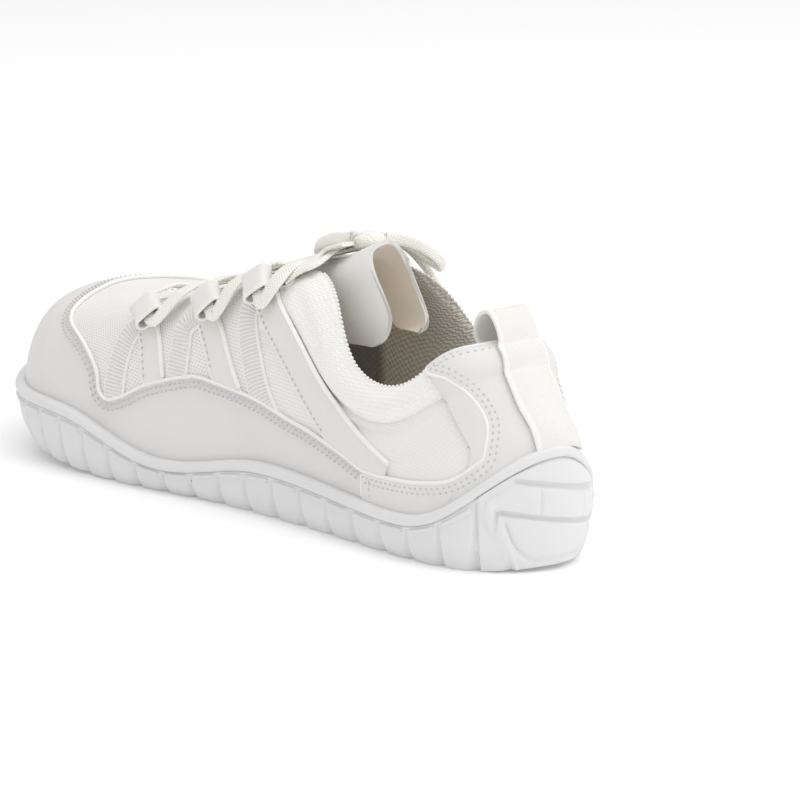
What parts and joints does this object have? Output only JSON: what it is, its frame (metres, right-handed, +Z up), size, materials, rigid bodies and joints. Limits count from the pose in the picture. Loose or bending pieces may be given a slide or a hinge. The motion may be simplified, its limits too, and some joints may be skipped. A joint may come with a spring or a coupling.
{
  "type": "barefoot shoe",
  "caption": "Low left barefoot shoe with a wide toe box, thin lugged cup sole, mesh upper, smooth overlays and webbing lace straps.",
  "frame": {"origin": "centre of the sole's plan box, on the floor plane under the sole", "axes": "+X from heel to toe, +Y to the outer side of the left foot, +Z up"},
  "size_m": [0.2882, 0.1092, 0.0976],
  "materials": {
    "sole_rubber": "matte white rubber",
    "footbed": "matte knit",
    "mesh": "open knit mesh",
    "microfibre": "smooth matte microfibre",
    "tongue_cloth": "smooth padded cloth",
    "webbing": "ribbed webbing",
    "lace_cord": "flat woven lace"
  },
  "bodies": {
    "root": {"outsole": "sole_rubber", "insole": "footbed", "upper": "mesh", "mudguard": "microfibre", "counter": "microfibre", "tongue": "tongue_cloth", "straps_outer_1": "webbing", "straps_outer_2": "webbing", "straps_outer_3": "webbing", "straps_inner_1": "webbing", "straps_inner_2": "webbing", "straps_inner_3": "webbing", "heel_strip": "webbing", "lace": "lace_cord", "lace_knot": "lace_cord", "lace_loop_outer": "lace_cord", "lace_loop_inner": "lace_cord", "lace_end_outer": "lace_cord", "lace_end_inner": "lace_cord"}
  },
  "joints": []
}
